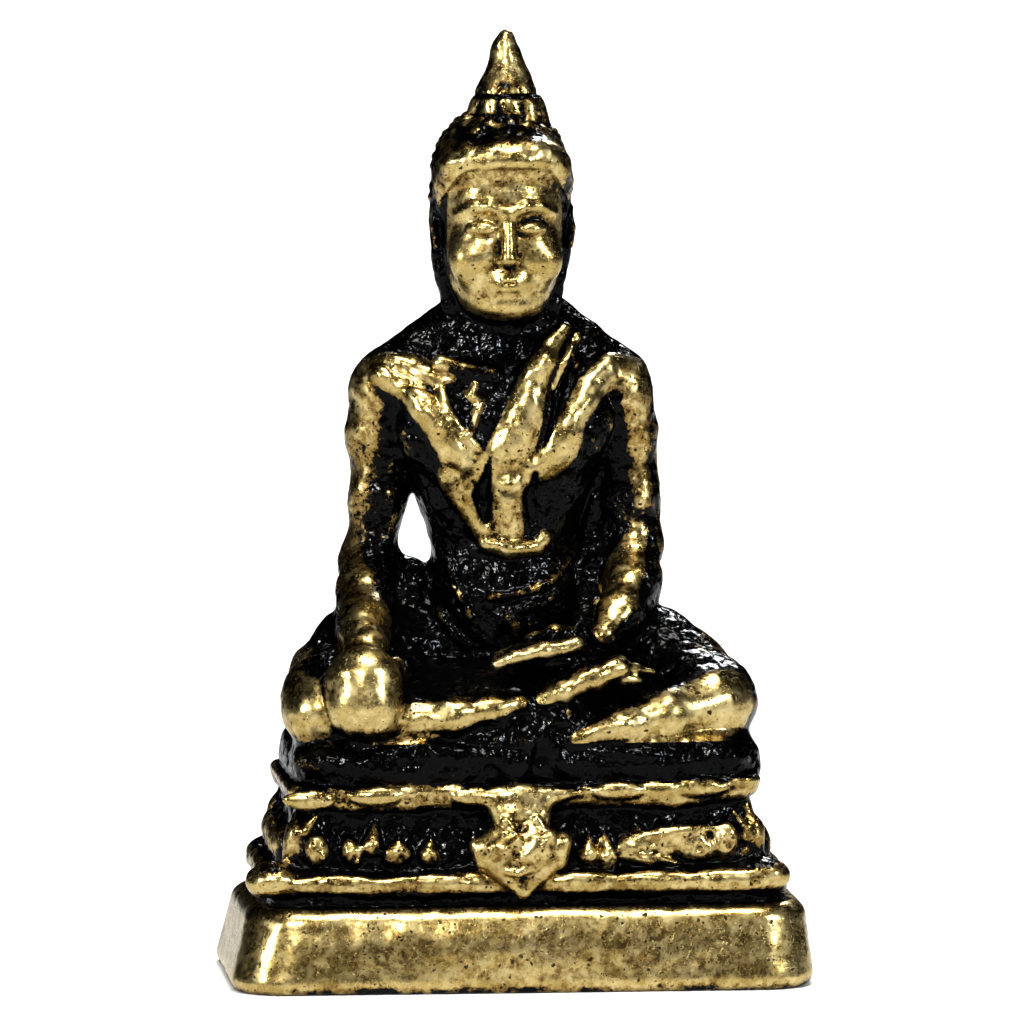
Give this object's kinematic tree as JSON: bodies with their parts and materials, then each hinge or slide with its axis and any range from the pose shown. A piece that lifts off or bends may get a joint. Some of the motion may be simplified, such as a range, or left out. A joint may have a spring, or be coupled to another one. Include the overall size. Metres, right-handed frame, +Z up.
{
  "type": "buddha statue",
  "caption": "Small cast brass seated Buddha in the earth-touching pose on a tiered rectangular throne, with a pointed topknot and blackened recesses.",
  "frame": {"origin": "centre of the plinth's underside, at the bottom of the statue", "axes": "+Z up, towards the tip of the flame; -Y is the front, the way the figure faces; the figure's own right hand is on the -X side"},
  "size_m": [0.019, 0.0114, 0.032],
  "materials": {
    "rubbed_brass": "rubbed warm yellow brass with fine scratches, casting pits and black left in the hollows",
    "blackened_brass": "blackened, slightly glossy patina with small rubbed specks of brass"
  },
  "bodies": {
    "root": {"plinth": "rubbed_brass", "lower_moulding": "rubbed_brass", "pedestal_waist": "blackened_brass", "front_ornament": "rubbed_brass", "upper_moulding": "rubbed_brass", "seat_cushion": "blackened_brass", "lap_robe": "blackened_brass", "left_leg": "rubbed_brass", "right_leg": "rubbed_brass", "torso": "blackened_brass", "right_arm": "rubbed_brass", "right_hand": "rubbed_brass", "left_arm": "rubbed_brass", "left_hand": "rubbed_brass", "robe_sash": "rubbed_brass", "head": "rubbed_brass", "right_ear": "blackened_brass", "left_ear": "blackened_brass", "hair_cap": "blackened_brass", "topknot_collar": "rubbed_brass", "flame_finial": "rubbed_brass"}
  },
  "joints": []
}
